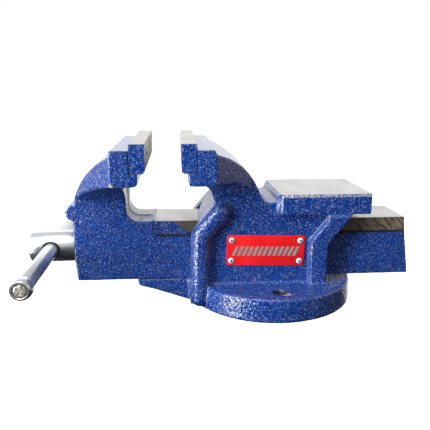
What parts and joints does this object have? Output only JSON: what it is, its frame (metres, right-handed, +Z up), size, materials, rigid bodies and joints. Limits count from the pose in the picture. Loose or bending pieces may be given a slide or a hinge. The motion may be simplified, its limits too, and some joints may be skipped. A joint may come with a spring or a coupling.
{
  "type": "bench vise",
  "caption": "Cast bench vise on a round fixed base, with an anvil behind the rear jaw, a channel-shaped slide, plate-faced jaws and a screw turned by a sliding bar handle.",
  "frame": {"origin": "middle of the round base's underside, on the bench surface", "axes": "+X from the front (moving) jaw to the anvil end, +Y across the jaws, +Z up"},
  "size_m": [0.3931, 0.25, 0.1691],
  "materials": {
    "hammer_paint": "deep blue hammer-finish enamel with pale flecks, glossy",
    "jaw_steel": "machined and serrated steel, ends painted",
    "bright_zinc": "bright zinc-plated steel",
    "dark_steel": "blackened steel",
    "bare_iron": "bare machined cast iron",
    "red_plate": "satin red plate"
  },
  "bodies": {
    "vise_body": {"fixed_body": "hammer_paint", "rear_jaw_plate": "jaw_steel", "rear_jaw_screw_near": "dark_steel", "rear_jaw_screw_far": "dark_steel", "name_plate": "red_plate", "name_plate_rivet_1": "bright_zinc", "name_plate_rivet_2": "bright_zinc", "name_plate_rivet_3": "bright_zinc", "name_plate_rivet_4": "bright_zinc", "spindle_nut": "bare_iron", "nut_bolt": "dark_steel", "nut_bolt_washer": "bright_zinc"},
    "front_jaw": {"moving_jaw": "hammer_paint", "front_jaw_plate": "jaw_steel", "front_jaw_screw_near": "dark_steel", "front_jaw_screw_far": "dark_steel", "thrust_washer": "bright_zinc"},
    "spindle": {"spindle_screw": "bright_zinc", "spindle_spring": "dark_steel", "spring_washer": "bright_zinc", "cotter_pin": "bright_zinc"},
    "handle": {"handle_bar": "bright_zinc", "handle_cap_near": "bright_zinc", "handle_cap_far": "bright_zinc"}
  },
  "joints": [
    {"name": "jaw_slide", "type": "slide", "parent": "vise_body", "child": "front_jaw", "axis": [1, 0, 0], "range_m": [-0.1181, 0.0321]},
    {"name": "spindle_turn", "type": "hinge", "parent": "front_jaw", "child": "spindle", "pos_m": [-0.2, 0, 0.056], "axis": [1, 0, 0], "range_deg": [-8496, 2304]},
    {"name": "handle_slide", "type": "slide", "parent": "spindle", "child": "handle", "axis": [0, 1, 0], "range_m": [-0.0955, 0.0955]}
  ],
  "couplings": [
    {"joint": "jaw_slide", "follows": "spindle_turn", "m_per_rad": 0.00079577}
  ]
}
